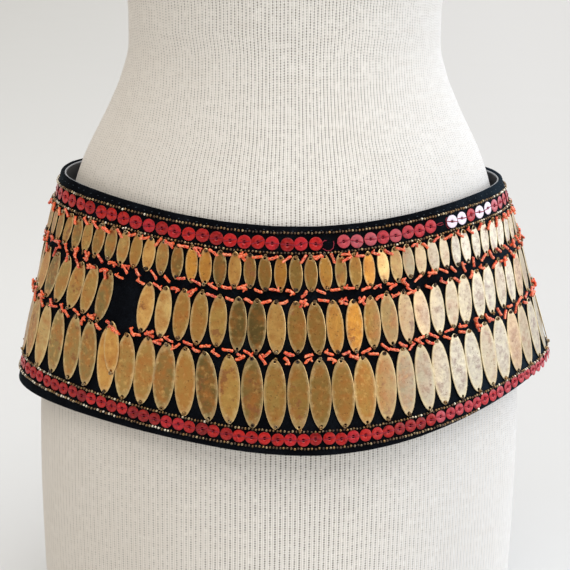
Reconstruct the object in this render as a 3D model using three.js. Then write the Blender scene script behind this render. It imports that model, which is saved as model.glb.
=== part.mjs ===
// Beaded hip belt resting on a limbless dress form.
// Millimetres, +Z up, the front of the belt faces -Y, and z = 0 is the underside of the form.
//
// The belt is a stiff shaped band: one curved velvet panel over buckram, a satin lining and a thin
// satin piping along the inner rim. Three rows of oval brass paillettes are sewn round it. It opens
// at the centre back, where four flat hooks hold one end to an underlap tab.

import * as THREE from 'three';

// ---------------------------------------------------------------- driving sizes

// An angle of 0 is the centre front, a positive angle goes round to +X, and 180 is the centre back.
const DEG = Math.PI / 180;

// Hoops that the panel is ruled between. The foot hoop runs through the lower holes of brass row 3.
// halfWidth, front and back are half axes; the pinches draw the section in between them;
// backRise, sideRise and tilt lift the hoop at the back, at both sides and at +X.
const UPPER_HOOP = {
  halfWidth: 166.6, front: 97.1, back: 116.6, frontPinch: 0.056, backPinch: 0.056, shift: 0,
  height: 315, backRise: -10.5, sideRise: -5.4, tilt: 2.0,
};
const FOOT_HOOP = {
  halfWidth: 192.6, front: 127.3, back: 132.7, frontPinch: 0.172, backPinch: 0.09, shift: 5.3,
  height: 193.5, backRise: 13.5, sideRise: 13.0, tilt: -1.4,
};

// Edges of the panel, measured along it from the foot hoop. The hem is cut a little askew.
const TOP_EDGE = { middle: 129.9, sideExtra: 1.8 };
const HEM_EDGE = { middle: 19.0, sideLoss: 3.4, skew: 8.0 };

// Layers, measured inwards from the face of the velvet.
const PANEL_WALL = 2.2;
const LINING_WALL = 1.0;
const SEAM_GAP = 0.3;
const EDGE_ROUND = 0.7;
const PIPING_DIAMETER = 1.2;

// The two ends of the belt at the centre back.
const END_GAP = 1.0;
const LINING_INSET = 5;
const UNDERLAP = { behindOpenEnd: 34, behindSewnEnd: 22, edgeInset: 9, wall: 1.5 };
const HOOK = { count: 4, width: 14, height: 9, thickness: 1.0, endInset: 20, fromOpening: 11 };

// Brass paillettes, hanging just off the velvet. lower and upper are the places of their two holes,
// measured up the panel.
const OVAL_END = 1.9;
const BRASS_WALL = 0.6;
const BRASS_LIFT = 0.5;
const NECK_HALF_HEIGHT = 0.9;
const DECOR = { start: -158.8, end: 157.2 };
const ROWS = [
  { name: 'brass_row_1', lower: 89.3, upper: 109.4, width: 8.6, count: 76, halfProfile: [0, 0.62] },
  { name: 'brass_row_2', lower: 48.4, upper: 79.9, width: 11.5, count: 62, halfProfile: [0, 0.45, 0.87] },
  { name: 'brass_row_3', lower: 0, upper: 42.5, width: 14.6, count: 56, halfProfile: [0, 0.45, 0.87] },
];
const LOST_OVAL = { index: 21, spread: -7 };
const FALLEN = { angle: -47.4, lower: 15.5, lean: -0.02 };

// Lean of the ovals where the belt is pulled askew: mm round the belt for each mm up it.
const LEANS = {
  brass_row_1: [
    { at: -110, lean: 0 }, { at: -66, lean: 0.23 }, { at: -40, lean: 0.22 }, { at: -30, lean: 0.1 },
    { at: -16, lean: 0.09 }, { at: -2, lean: 0.02 }, { at: 10, lean: -0.03 }, { at: 36, lean: -0.08 },
    { at: 47, lean: -0.04 }, { at: 57, lean: 0.17 }, { at: 66, lean: 0.22 }, { at: 110, lean: 0 },
  ],
  brass_row_2: [
    { at: -110, lean: 0 }, { at: -66, lean: 0.3 }, { at: -55, lean: 0.28 }, { at: -45, lean: 0.2 },
    { at: -28, lean: 0.18 }, { at: -18, lean: 0.09 }, { at: -6, lean: 0 }, { at: 14, lean: -0.02 },
    { at: 26, lean: -0.11 }, { at: 36, lean: 0 }, { at: 60, lean: 0.08 }, { at: 75, lean: 0.17 },
    { at: 110, lean: 0 },
  ],
  brass_row_3: [
    { at: -110, lean: 0 }, { at: -72, lean: 0.05 }, { at: -52, lean: 0.03 }, { at: -36, lean: 0.13 },
    { at: -25, lean: 0.01 }, { at: -10, lean: 0.07 }, { at: 0, lean: 0.01 }, { at: 18, lean: 0 },
    { at: 28, lean: -0.07 }, { at: 45, lean: -0.07 }, { at: 54, lean: 0.02 }, { at: 75, lean: 0.07 },
    { at: 110, lean: 0 },
  ],
};

// Sections of the dress form, from its flat underside to the top of the neck.
const FORM_PINCH = 0.06;
const FORM_SECTIONS = [
  { z: 0, halfWidth: 173, front: 106, back: 112 },
  { z: 3, halfWidth: 176, front: 109, back: 115 },
  { z: 12, halfWidth: 177.5, front: 110.5, back: 116.5 },
  { z: 60, halfWidth: 179, front: 111.5, back: 117.5 },
  { z: 105, halfWidth: 179.3, front: 112, back: 118.5 },
  { z: 160, halfWidth: 178.2, front: 111, back: 120 },
  { z: 210, halfWidth: 174.6, front: 108, back: 120 },
  { z: 240, halfWidth: 170.2, front: 104.6, back: 118 },
  { z: 270, halfWidth: 164.5, front: 100.2, back: 114.6 },
  { z: 304, halfWidth: 156.5, front: 94.4, back: 108.8 },
  { z: 326, halfWidth: 150.4, front: 91.3, back: 102.8 },
  { z: 350, halfWidth: 142.2, front: 87.6, back: 94.6 },
  { z: 388, halfWidth: 123.1, front: 80, back: 84 },
  { z: 408, halfWidth: 114.4, front: 76.4, back: 79 },
  { z: 430, halfWidth: 108.9, front: 74, back: 76 },
  { z: 452, halfWidth: 108.7, front: 74.2, back: 75.8 },
  { z: 476, halfWidth: 113.3, front: 78, back: 78.2 },
  { z: 520, halfWidth: 127, front: 92, back: 86 },
  { z: 570, halfWidth: 142, front: 112, back: 94 },
  { z: 612, halfWidth: 150, front: 119, back: 100 },
  { z: 655, halfWidth: 155, front: 112, back: 106 },
  { z: 700, halfWidth: 163, front: 93, back: 106 },
  { z: 735, halfWidth: 166, front: 76, back: 96 },
  { z: 757, halfWidth: 150, front: 64, back: 84 },
  { z: 774, halfWidth: 112, front: 57, back: 74 },
  { z: 790, halfWidth: 76, front: 52, back: 64 },
  { z: 808, halfWidth: 60, front: 49, back: 57 },
  { z: 835, halfWidth: 56, front: 48, back: 54 },
  { z: 866, halfWidth: 57, front: 50, back: 54 },
  { z: 872, halfWidth: 52, front: 45, back: 49 },
];
const FORM_COLUMNS = 44;

const BAND_STATIONS = 88;
const FACE_STRIPS = 3;
const PIPING_STATIONS = 72;
const PIPING_SIDES = 6;

// ---------------------------------------------------------------- materials

const velvet = new THREE.MeshStandardMaterial({ color: 0x12141d, roughness: 0.95, metalness: 0 });
const satin = new THREE.MeshStandardMaterial({ color: 0x24262c, roughness: 0.5, metalness: 0 });
const pipingSatin = new THREE.MeshStandardMaterial({ color: 0x6f7278, roughness: 0.35, metalness: 0 });
const brass = new THREE.MeshStandardMaterial({ color: 0xa88645, roughness: 0.38, metalness: 1 });
const nickel = new THREE.MeshStandardMaterial({ color: 0xa9a8a4, roughness: 0.35, metalness: 1 });
const jersey = new THREE.MeshStandardMaterial({ color: 0xddd8cb, roughness: 0.9, metalness: 0 });

// ---------------------------------------------------------------- shapes by formula

function ovalPoint(section, angle) {
  const side = Math.sin(angle);
  const forward = Math.cos(angle);
  const depth = forward > 0 ? section.front : section.back;
  const pinch = forward > 0 ? section.frontPinch : section.backPinch;
  return [
    section.halfWidth * side * (1 - pinch * forward * forward),
    -depth * forward * (1 - pinch * side * side),
  ];
}

function hoopPoint(hoop, angle) {
  const [x, y] = ovalPoint(hoop, angle);
  const side = Math.sin(angle);
  const z = hoop.height + hoop.backRise * (1 - Math.cos(angle)) / 2
    + hoop.sideRise * side * side + hoop.tilt * side;
  return new THREE.Vector3(x + hoop.shift, y, z);
}

// Point of the velvet's face, `up` mm above the foot hoop along the panel, moved `out` mm off it.
function panelPoint(angle, up, out) {
  const foot = hoopPoint(FOOT_HOOP, angle);
  const rise = hoopPoint(UPPER_HOOP, angle).sub(foot).normalize();
  const step = 0.5 * DEG;
  const footAhead = hoopPoint(FOOT_HOOP, angle + step);
  const riseAhead = hoopPoint(UPPER_HOOP, angle + step).sub(footAhead).normalize();
  const here = foot.clone().addScaledVector(rise, up);
  const ahead = footAhead.addScaledVector(riseAhead, up);
  const outward = ahead.sub(here).cross(rise).normalize();
  return here.addScaledVector(outward, out);
}

function topEdge(angle) {
  return TOP_EDGE.middle + TOP_EDGE.sideExtra * Math.sin(angle) ** 2;
}

function hemEdge(angle) {
  const side = Math.sin(angle);
  return -(HEM_EDGE.middle - HEM_EDGE.sideLoss * side * side - HEM_EDGE.skew * side ** 3);
}

// Angle at which a line round the panel at height `up` is `length` mm from the angle `from`.
function angleAlong(from, up, length) {
  const steps = Math.max(1, Math.ceil(Math.abs(length)));
  let angle = from;
  for (let i = 0; i < steps; i += 1) {
    const here = panelPoint(angle, up, 0);
    const perRadian = panelPoint(angle + 0.001, up, 0).distanceTo(here) / 0.001;
    angle += length / steps / perRadian;
  }
  return angle;
}

function lengthBetween(start, end, up) {
  const steps = 720;
  let total = 0;
  let last = panelPoint(start, up, 0);
  for (let i = 1; i <= steps; i += 1) {
    const next = panelPoint(start + (end - start) * i / steps, up, 0);
    total += next.distanceTo(last);
    last = next;
  }
  return total;
}

// ---------------------------------------------------------------- one closed skin through loops

// loops: equally long rings of Vector3. A ring of loops closes on itself; otherwise both ends are
// capped by a fan round the middle of the end loop.
function skinThrough(loops, isRing) {
  const size = loops[0].length;
  const positions = [];
  loops.forEach((loop) => loop.forEach((p) => positions.push(p.x, p.y, p.z)));
  const faces = [];
  const last = isRing ? loops.length : loops.length - 1;
  for (let i = 0; i < last; i += 1) {
    const here = i * size;
    const next = ((i + 1) % loops.length) * size;
    for (let j = 0; j < size; j += 1) {
      const k = (j + 1) % size;
      faces.push([here + j, next + j, next + k], [here + j, next + k, here + k]);
    }
  }
  const cap = (start, loop, flip) => {
    const middle = new THREE.Vector3();
    loop.forEach((p) => middle.addScaledVector(p, 1 / size));
    const centre = positions.length / 3;
    positions.push(middle.x, middle.y, middle.z);
    for (let j = 0; j < size; j += 1) {
      const k = (j + 1) % size;
      faces.push(flip ? [centre, start + k, start + j] : [centre, start + j, start + k]);
    }
  };
  if (!isRing) {
    cap(0, loops[0], false);
    cap((loops.length - 1) * size, loops[loops.length - 1], true);
  }
  const corner = (v) => new THREE.Vector3(positions[3 * v], positions[3 * v + 1], positions[3 * v + 2]);
  const volume = faces.reduce(
    (sum, [a, b, c]) => sum + corner(a).dot(corner(b).cross(corner(c))), 0);
  const index = faces.flatMap(([a, b, c]) => (volume < 0 ? [a, c, b] : [a, b, c]));
  const geometry = new THREE.BufferGeometry();
  geometry.setAttribute('position', new THREE.Float32BufferAttribute(positions, 3));
  geometry.setIndex(index);
  geometry.computeVertexNormals();
  return geometry;
}

function namedMesh(name, geometry, material) {
  const mesh = new THREE.Mesh(geometry, material);
  mesh.name = name;
  return mesh;
}

function range(count, make) {
  return Array.from({ length: count }, (_, i) => make(i));
}

// ---------------------------------------------------------------- layers of the band

// Points up or down one face of a layer of cloth, both ends included.
function facePoints(angle, from, to, out) {
  return range(FACE_STRIPS + 1, (i) => panelPoint(angle, from + (to - from) * i / FACE_STRIPS, out));
}

// Section of one layer with rounded outer edges, between two heights and two depths.
function roundedSection(angle, low, high, outer, wall, rounding) {
  const inner = outer - wall;
  return [
    ...facePoints(angle, low + rounding, high - rounding, outer),
    panelPoint(angle, high - 0.3 * rounding, outer - 0.3 * rounding),
    panelPoint(angle, high, outer - rounding),
    panelPoint(angle, high, inner + 0.4 * rounding),
    ...facePoints(angle, high - 0.4 * rounding, low + 0.4 * rounding, inner),
    panelPoint(angle, low, inner + 0.4 * rounding),
    panelPoint(angle, low, outer - rounding),
    panelPoint(angle, low + 0.3 * rounding, outer - 0.3 * rounding),
  ];
}

const middleHeight = (TOP_EDGE.middle - HEM_EDGE.middle) / 2;
const leftEnd = -(2 * Math.PI - angleAlong(Math.PI, middleHeight, END_GAP / 2));
const rightEnd = angleAlong(Math.PI, middleHeight, -END_GAP / 2);

function velvetPanel() {
  const loops = range(BAND_STATIONS + 1, (i) => {
    const angle = leftEnd + (rightEnd - leftEnd) * i / BAND_STATIONS;
    return roundedSection(angle, hemEdge(angle), topEdge(angle), 0, PANEL_WALL, EDGE_ROUND);
  });
  return namedMesh('velvet_panel', skinThrough(loops, false), velvet);
}

const LINING_FACE = -(PANEL_WALL + SEAM_GAP);
const LINING_EDGE_DROP = 2.0;

function lining() {
  const start = angleAlong(leftEnd, middleHeight, LINING_INSET);
  const end = angleAlong(rightEnd, middleHeight, -LINING_INSET);
  const loops = range(BAND_STATIONS + 1, (i) => {
    const angle = start + (end - start) * i / BAND_STATIONS;
    const low = hemEdge(angle) + LINING_EDGE_DROP;
    const high = topEdge(angle) - LINING_EDGE_DROP;
    return [
      ...facePoints(angle, low, high, LINING_FACE),
      ...facePoints(angle, high, low, LINING_FACE - LINING_WALL),
    ];
  });
  return namedMesh('lining', skinThrough(loops, false), satin);
}

// The piping sits on the upper edge of the lining, against the inner face of the panel.
function topPiping() {
  const start = angleAlong(leftEnd, middleHeight, LINING_INSET);
  const end = angleAlong(rightEnd, middleHeight, -LINING_INSET);
  const radius = PIPING_DIAMETER / 2;
  const centreOut = LINING_FACE - radius;
  const loops = range(PIPING_STATIONS + 1, (i) => {
    const angle = start + (end - start) * i / PIPING_STATIONS;
    const centreUp = topEdge(angle) - LINING_EDGE_DROP + SEAM_GAP + radius;
    return range(PIPING_SIDES, (k) => {
      const turn = 2 * Math.PI * (k + 0.5) / PIPING_SIDES;
      return panelPoint(
        angle, centreUp + radius * Math.sin(turn), centreOut + radius * Math.cos(turn));
    });
  });
  return namedMesh('top_piping', skinThrough(loops, false), pipingSatin);
}

// ---------------------------------------------------------------- centre back closure

const HOOK_FACE = LINING_FACE - LINING_WALL - SEAM_GAP;
const UNDERLAP_FACE = HOOK_FACE - HOOK.thickness - SEAM_GAP;

function underlapTab() {
  const start = angleAlong(Math.PI, middleHeight, -UNDERLAP.behindOpenEnd);
  const end = angleAlong(Math.PI, middleHeight, UNDERLAP.behindSewnEnd);
  const stations = 10;
  const loops = range(stations + 1, (i) => {
    const angle = start + (end - start) * i / stations;
    return roundedSection(
      angle, hemEdge(angle) + UNDERLAP.edgeInset, topEdge(angle) - UNDERLAP.edgeInset,
      UNDERLAP_FACE, UNDERLAP.wall, EDGE_ROUND / 2);
  });
  return namedMesh('underlap', skinThrough(loops, false), velvet);
}

function hooks() {
  const centre = angleAlong(Math.PI, middleHeight, -HOOK.fromOpening);
  const lowest = hemEdge(Math.PI) + HOOK.endInset;
  const highest = topEdge(Math.PI) - HOOK.endInset;
  return range(HOOK.count, (n) => {
    const up = lowest + (highest - lowest) * n / (HOOK.count - 1);
    const stations = 4;
    const loops = range(stations + 1, (i) => {
      const along = (i / stations - 0.5) * HOOK.width;
      const angle = angleAlong(centre, up, along);
      const half = (HOOK.height / 2) * (i === 0 || i === stations ? 0.6 : 1);
      return [
        panelPoint(angle, up - half, HOOK_FACE),
        panelPoint(angle, up + half, HOOK_FACE),
        panelPoint(angle, up + half, HOOK_FACE - HOOK.thickness),
        panelPoint(angle, up - half, HOOK_FACE - HOOK.thickness),
      ];
    });
    return namedMesh(`hook_${n + 1}`, skinThrough(loops, false), nickel);
  });
}

// ---------------------------------------------------------------- brass paillettes

// Columns across one oval, from one side to the other: place across it and half height there.
function ovalColumns(row) {
  const half = row.width / 2;
  const tall = (row.upper - row.lower) / 2 + OVAL_END;
  const across = [-1, ...row.halfProfile.slice(1).reverse().map((t) => -t),
    ...row.halfProfile, 1];
  return across.map((t) => ({
    along: t * half,
    halfHeight: Math.max(NECK_HALF_HEIGHT, tall * Math.sqrt(1 - t * t)),
  }));
}

function leanAt(leans, angle) {
  const degrees = angle / DEG;
  const next = leans.findIndex(({ at }) => at >= degrees);
  if (next < 1) return 0;
  const [before, after] = [leans[next - 1], leans[next]];
  const part = (degrees - before.at) / (after.at - before.at);
  return before.lean + (after.lean - before.lean) * part;
}

// One column of a brass sheet: its lower and upper corners, back and face.
function brassLoop(angle, centre, halfHeight, out, lean) {
  const low = centre - halfHeight;
  const high = centre + halfHeight;
  const lowAngle = angleAlong(angle, low, -lean * halfHeight);
  const highAngle = angleAlong(angle, high, lean * halfHeight);
  return [
    panelPoint(lowAngle, low, out),
    panelPoint(highAngle, high, out),
    panelPoint(highAngle, high, out + BRASS_WALL),
    panelPoint(lowAngle, low, out + BRASS_WALL),
  ];
}

// A run of ovals that hang side by side, joined where they all but touch.
function brassRun(name, row, first, last, shift = 0) {
  const centre = (row.lower + row.upper) / 2;
  const start = DECOR.start * DEG;
  const total = lengthBetween(start, DECOR.end * DEG, centre);
  const pitch = total / row.count;
  const loops = [];
  let angle = angleAlong(start, centre, pitch * (first + 0.5) + shift);
  for (let n = first; n <= last; n += 1) {
    const lean = leanAt(LEANS[row.name], angle);
    ovalColumns(row).forEach(({ along, halfHeight }) => {
      loops.push(brassLoop(angleAlong(angle, centre, along), centre, halfHeight, BRASS_LIFT, lean));
    });
    angle = angleAlong(angle, centre, pitch);
  }
  return namedMesh(name, skinThrough(loops, false), brass);
}

function brassRows() {
  const [small, middle, large] = ROWS;
  return [
    brassRun(small.name, small, 0, small.count - 1),
    brassRun(`${middle.name}_left`, middle, 0, LOST_OVAL.index - 1, LOST_OVAL.spread),
    brassRun(`${middle.name}_right`, middle, LOST_OVAL.index + 1, middle.count - 1),
    brassRun(large.name, large, 0, large.count - 1),
  ];
}

// One oval of row 2 has come loose and hangs lower, in front of row 3.
function fallenOval() {
  const row = ROWS[1];
  const centre = FALLEN.lower + (row.upper - row.lower) / 2;
  const angle = FALLEN.angle * DEG;
  const out = BRASS_LIFT + BRASS_WALL + SEAM_GAP;
  const loops = ovalColumns(row).map(({ along, halfHeight }) => brassLoop(
    angleAlong(angle, centre, along), centre, halfHeight, out, FALLEN.lean));
  return namedMesh('brass_oval_fallen', skinThrough(loops, false), brass);
}

// ---------------------------------------------------------------- dress form

function dressForm() {
  const loops = FORM_SECTIONS.map((section) => range(FORM_COLUMNS, (i) => {
    const [x, y] = ovalPoint(
      { ...section, frontPinch: FORM_PINCH, backPinch: FORM_PINCH }, 2 * Math.PI * i / FORM_COLUMNS);
    return new THREE.Vector3(x, y, section.z);
  }));
  return namedMesh('dress_form', skinThrough(loops, false), jersey);
}

// ---------------------------------------------------------------- the whole part

const belt = new THREE.Group();
belt.add(velvetPanel(), lining(), topPiping(), underlapTab(), ...hooks());
belt.add(...brassRows(), fallenOval());

const beltOnForm = new THREE.Group();
beltOnForm.add(dressForm(), belt);

export default beltOnForm;
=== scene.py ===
import math
import random
from functools import lru_cache

import bmesh
import bpy
import numpy as np
from mathutils import Matrix, Vector, noise


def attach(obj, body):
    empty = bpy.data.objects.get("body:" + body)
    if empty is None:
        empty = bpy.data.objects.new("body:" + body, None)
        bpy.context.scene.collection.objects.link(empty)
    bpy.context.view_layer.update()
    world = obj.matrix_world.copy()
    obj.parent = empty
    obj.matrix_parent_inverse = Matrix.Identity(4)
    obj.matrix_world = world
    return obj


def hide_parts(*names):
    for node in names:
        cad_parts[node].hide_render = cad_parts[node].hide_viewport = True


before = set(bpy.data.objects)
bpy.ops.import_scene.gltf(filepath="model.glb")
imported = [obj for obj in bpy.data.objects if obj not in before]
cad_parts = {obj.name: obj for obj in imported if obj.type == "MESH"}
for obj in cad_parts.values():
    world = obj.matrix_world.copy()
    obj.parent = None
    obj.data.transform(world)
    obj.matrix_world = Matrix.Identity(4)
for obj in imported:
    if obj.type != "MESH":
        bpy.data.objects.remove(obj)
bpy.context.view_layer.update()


# ------------------------------------------------------------------------------------------ camera
# A short telephoto view from a little above the upper edge of the belt and a little to the left of
# its middle, so that the front is nearly square on and the inside of the rim shows at both sides.

camera_data = bpy.data.cameras.new("camera")
camera_data.lens = 81.41
camera_data.sensor_width = 36
camera = bpy.data.objects.new("camera", camera_data)
bpy.context.collection.objects.link(camera)
camera_place = Vector((-0.1130, -0.9027, 0.4942))
camera_aim = Vector((0.12107, 0.95958, -0.25407))
camera_roll = math.radians(0.55)
camera.matrix_world = (
    Matrix.Translation(camera_place)
    @ camera_aim.to_track_quat("-Z", "Y").to_matrix().to_4x4()
    @ Matrix.Rotation(camera_roll, 4, "Z")
)
bpy.context.scene.camera = camera


# -------------------------------------------------------------------------------------- dress form
# A limbless counter form: a hard torso with a flat underside and a short neck, under a tight tube
# of ecru jersey. The jersey is a fine openwork rib: smooth wales with a column of pin holes after
# every second one. It has as many wales at the waist as at the hip, spaced evenly round the hip.

mm = 0.001

FORM_PINCH = 0.06
FORM_SECTIONS = [  # height, half width, depth to the front, depth to the back
    (0, 173, 106, 112),
    (3, 176, 109, 115),
    (12, 177.5, 110.5, 116.5),
    (60, 179, 111.5, 117.5),
    (105, 179.3, 112, 118.5),
    (160, 178.2, 111, 120),
    (210, 174.6, 108, 120),
    (240, 170.2, 104.6, 118),
    (270, 164.5, 100.2, 114.6),
    (304, 156.5, 94.4, 108.8),
    (326, 150.4, 91.3, 102.8),
    (350, 142.2, 87.6, 94.6),
    (388, 123.1, 80, 84),
    (408, 114.4, 76.4, 79),
    (430, 108.9, 74, 76),
    (452, 108.7, 74.2, 75.8),
    (476, 113.3, 78, 78.2),
    (520, 127, 92, 86),
    (570, 142, 112, 94),
    (612, 150, 119, 100),
    (655, 155, 112, 106),
    (700, 163, 93, 106),
    (735, 166, 76, 96),
    (757, 150, 64, 84),
    (774, 112, 57, 74),
    (790, 76, 52, 64),
    (808, 60, 49, 57),
    (835, 56, 48, 54),
    (866, 57, 50, 54),
    (872, 52, 45, 49),
]
FORM_COLUMNS = 176
ROWS_A_SECTION = 5
WALE_PAIRS = 280
COURSE = 1.75
JERSEY_SLACK = 0.2


def oval_point(half_width, front, back, front_pinch, back_pinch, angle):
    """A point on a flattened oval. 0 is the centre front, and a positive angle goes round to +X."""
    side, forward = math.sin(angle), math.cos(angle)
    depth, pinch = (front, front_pinch) if forward > 0 else (back, back_pinch)
    return Vector((
        half_width * side * (1 - pinch * forward**2),
        -depth * forward * (1 - pinch * side**2),
        0,
    ))


def slopes(heights, values):
    """Slopes for a curve through the values that never swings past them."""
    steps = np.diff(values) / np.diff(heights)
    inner = [0 if a * b <= 0 else 2 * a * b / (a + b) for a, b in zip(steps, steps[1:])]
    return [steps[0], *inner, steps[-1]]


def wrapped_grid(name, columns, rows, point_at):
    """A mesh from a grid whose corners go where point_at(column, row) says, closed and facing out."""
    bm = bmesh.new()
    bm.loops.layers.uv.new("UVMap")
    bmesh.ops.create_grid(bm, x_segments=columns, y_segments=rows, size=0.5, calc_uvs=True)
    for vertex in bm.verts:
        column = round((vertex.co.x + 0.5) * columns)
        row = round((vertex.co.y + 0.5) * rows)
        vertex.co = point_at(column, row)
    bmesh.ops.remove_doubles(bm, verts=bm.verts, dist=0.00001)
    caps = bmesh.ops.holes_fill(bm, edges=[e for e in bm.edges if e.is_boundary])["faces"]
    for cap in caps:
        for edge in cap.edges:
            edge.smooth = False
    bmesh.ops.recalc_face_normals(bm, faces=bm.faces)
    return finished(bm, name)


def mesh_from(bm, name):
    """Ends the work on a bmesh and keeps it as a mesh."""
    mesh = bpy.data.meshes.new(name)
    bm.to_mesh(mesh)
    bm.free()
    return mesh


def finished(bm, name):
    """Turns a bmesh into a smooth-shaded object that rides on the part."""
    for face in bm.faces:
        face.smooth = True
    piece = bpy.data.objects.new(name, mesh_from(bm, name))
    bpy.context.collection.objects.link(piece)
    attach(piece, "root")
    return piece


section_heights, *section_sizes = np.array(FORM_SECTIONS, float).T
size_slopes = [slopes(section_heights, values) for values in section_sizes]


def form_sizes(height):
    """Half width, front and back of the form at a height."""
    i = min(int(np.searchsorted(section_heights, height, "right")) - 1, len(section_heights) - 2)
    step = section_heights[i + 1] - section_heights[i]
    t = (height - section_heights[i]) / step
    return [
        (2 * t**3 - 3 * t**2 + 1) * values[i]
        + (3 * t**2 - 2 * t**3) * values[i + 1]
        + step * ((t**3 - 2 * t**2 + t) * slope[i] + (t**3 - t**2) * slope[i + 1])
        - JERSEY_SLACK
        for values, slope in zip(section_sizes, size_slopes)
    ]


hip_turns = np.radians(np.arange(180, 540.5, 0.5))
_, *hip_sizes = max(FORM_SECTIONS, key=lambda section: section[1])
hip_points = [oval_point(*hip_sizes, FORM_PINCH, FORM_PINCH, turn) for turn in hip_turns]
hip_steps = [(b - a).length for a, b in zip(hip_points, hip_points[1:])]
hip_lengths = np.concatenate([[0.0], np.cumsum(hip_steps)])
form_turns = np.interp(np.linspace(0, hip_lengths[-1], FORM_COLUMNS + 1), hip_lengths, hip_turns)

form_heights = [
    low + (high - low) * step / ROWS_A_SECTION
    for low, high in zip(section_heights, section_heights[1:])
    for step in range(ROWS_A_SECTION)
] + [section_heights[-1]]


def form_point(column, row):
    """Where a corner of the jersey's grid goes, its rows climbing and its columns going round."""
    sizes = form_sizes(form_heights[row])
    point = oval_point(*sizes, FORM_PINCH, FORM_PINCH, form_turns[column])
    point.z = form_heights[row]
    return point * mm


form = wrapped_grid("dress_form_jersey", FORM_COLUMNS, len(form_heights) - 1, form_point)

# The knit's own rows climb the form evenly, so the map's second direction is the length up its side.
climb = [0.0]
for low, high in zip(form_heights, form_heights[1:]):
    climb.append(climb[-1] + math.hypot(high - low, form_sizes(high)[0] - form_sizes(low)[0]))
form_map = form.data.uv_layers["UVMap"].data
for corner in form_map:
    corner.uv.y = climb[round(corner.uv.y * (len(form_heights) - 1))] / climb[-1]
courses = round(climb[-1] / COURSE)


def tint(red, green, blue):
    """A linear colour from display values of 0 to 255."""
    def linear(value):
        value /= 255
        return value / 12.92 if value <= 0.04045 else ((value + 0.055) / 1.055) ** 2.4
    return linear(red), linear(green), linear(blue), 1.0


def add_node(kind, inputs=None, material=None, **settings):
    """Adds a shader node. Each input is a value, or the socket that feeds it and says whose it is."""
    inputs = inputs or {}
    sockets = [value for value in inputs.values() if isinstance(value, bpy.types.NodeSocket)]
    tree = sockets[0].id_data if sockets else material.node_tree
    made = tree.nodes.new("ShaderNode" + kind)
    for name, value in settings.items():
        setattr(made, name, value)
    for key, value in inputs.items():
        if isinstance(value, bpy.types.NodeSocket):
            tree.links.new(value, made.inputs[key])
        else:
            made.inputs[key].default_value = value
    return made


def maths(operation, *values, clamp=False):
    """The result of one sum on numbers or sockets."""
    inputs = dict(enumerate(values))
    return add_node("Math", inputs, operation=operation, use_clamp=clamp).outputs[0]


def scaled(value, times, plus, clamp=False):
    """A value times one number or socket, plus another."""
    return maths("MULTIPLY_ADD", value, times, plus, clamp=clamp)


def mixed(amount, first, second, share=1.0):
    """A colour between two others, by an amount or by a share of it."""
    if share != 1.0:
        amount = maths("MULTIPLY", amount, share)
    inputs = {0: amount, 6: first, 7: second}
    return add_node("Mix", inputs, data_type="RGBA").outputs[2]


def on_piece(material):
    """The place on the piece, in metres from the part's origin."""
    return add_node("TexCoord", material=material).outputs["Object"]


def one_axis(vector, axis):
    """One of a vector's three numbers."""
    return add_node("SeparateXYZ", {0: vector}).outputs[axis]


def noise_at(material, scale, detail=3.0, roughness=0.5, place=None):
    """A noise value from 0 to 1, at the place on the piece unless another is given."""
    place = on_piece(material) if place is None else place
    inputs = {"Vector": place, "Scale": scale, "Detail": detail, "Roughness": roughness}
    return add_node("TexNoise", inputs).outputs["Fac"]


def ramp(factor, *stops):
    """Runs a number through colour stops, each a place and a colour."""
    made = add_node("ValToRGB", {"Fac": factor})
    elements = made.color_ramp.elements
    while len(elements) < len(stops):
        elements.new(0.5)
    for element, (place, colour) in zip(elements, stops):
        element.position = place
        element.color = colour
    return made.outputs["Color"]


def new_material(name, **sockets):
    """A material whose shader sockets are set by name, with spaces written as underscores."""
    material = bpy.data.materials.new(name)
    material.use_nodes = True
    set_shader(material, **sockets)
    return material


def set_shader(material, **sockets):
    """Sets the shader's sockets, or feeds them where another node's socket is given."""
    shader = material.node_tree.nodes["Principled BSDF"]
    for name, value in sockets.items():
        socket = shader.inputs[name.replace("_", " ")]
        if isinstance(value, bpy.types.NodeSocket):
            material.node_tree.links.new(value, socket)
        else:
            socket.default_value = value


def bump(height, distance, strength=1.0):
    """A normal from a height, where distance is the real depth in metres."""
    inputs = {"Height": height, "Distance": distance, "Strength": strength}
    return add_node("Bump", inputs).outputs["Normal"]


def wave(phase):
    """0 to 1 and back once for each whole number of the phase, and 1 at the whole numbers."""
    turned = maths("MULTIPLY", phase, 2 * math.pi)
    return scaled(maths("COSINE", turned), 0.5, 0.5)


jersey = new_material("ecru_rib_jersey", Roughness=0.92, Sheen_Weight=0.15, Sheen_Roughness=0.5)
wrapped = add_node("TexCoord", material=jersey).outputs["UV"]
round_form, up_form = one_axis(wrapped, "X"), one_axis(wrapped, "Y")
across, height = one_axis(on_piece(jersey), "X"), one_axis(on_piece(jersey), "Z")
wander = noise_at(jersey, 6.0, 1.0)
drawn_in = maths("MINIMUM", scaled(height, 2.2, -0.818, clamp=True), 0.15)
pairs_round = scaled(drawn_in, -WALE_PAIRS, 0.975 * WALE_PAIRS)
from_front = maths("SUBTRACT", round_form, 0.5)
pair = scaled(from_front, pairs_round, wander)
column = maths("FLOOR", maths("ADD", pair, 0.5))
start = add_node("TexWhiteNoise", {"W": column}, noise_dimensions="1D").outputs["Value"]
course = scaled(up_form, float(courses), start)
course = scaled(noise_at(jersey, 130.0, 2.0), 0.9, course)
groove = maths("POWER", wave(pair), 2.2)
seam = maths("POWER", wave(maths("ADD", pair, 0.5)), 6.0)
pin = scaled(wave(course), 0.88, 0.12)
patchy = scaled(noise_at(jersey, 260.0, 2.0), 3.0, -0.7, clamp=True)
# Painted light: the knit is brightest at the front and painted shaded towards both sides, in a warm grey on
# the left and a cool grey on the right. The same share also thins the grooves at the sides.
painted_front_light = scaled(maths("ABSOLUTE", across), -5.5, 1.12)
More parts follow.
